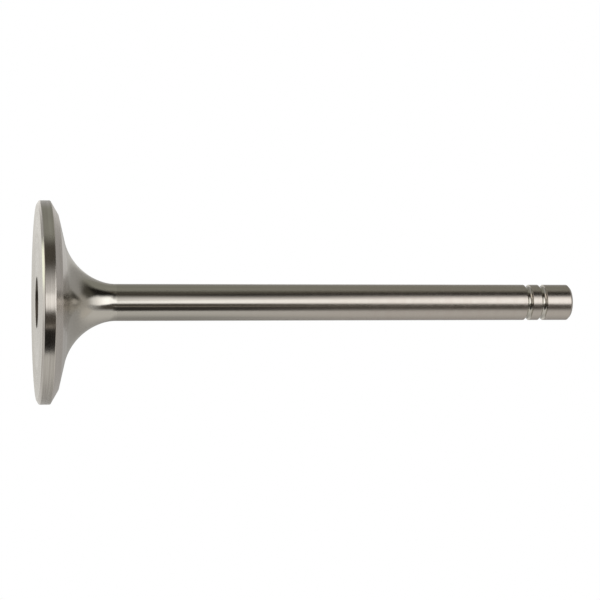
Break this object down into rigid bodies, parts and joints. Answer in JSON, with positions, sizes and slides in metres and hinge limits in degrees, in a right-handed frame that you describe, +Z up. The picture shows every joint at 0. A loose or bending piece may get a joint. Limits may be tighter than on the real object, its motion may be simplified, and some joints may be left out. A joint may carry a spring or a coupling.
{
  "type": "engine valve",
  "caption": "Poppet valve for a piston engine: flat round head with a conical seat, neck flared into a straight ground stem, and half-round keeper grooves near the tip.",
  "frame": {"origin": "centre of the combustion face, on the stem's axis: the bottom centre of the valve as it stands on its head", "axes": "+Z runs up the stem from the combustion face to the tip; X and Y lie in the plane of the face, and the valve is round about Z, so they have no special direction on it"},
  "size_m": [0.0492, 0.049, 0.1344],
  "materials": {
    "valve_steel": "bare steel, turned on the head and ground on the margin, seat, stem and tip"
  },
  "bodies": {
    "root": {"valve": "valve_steel"}
  },
  "joints": []
}
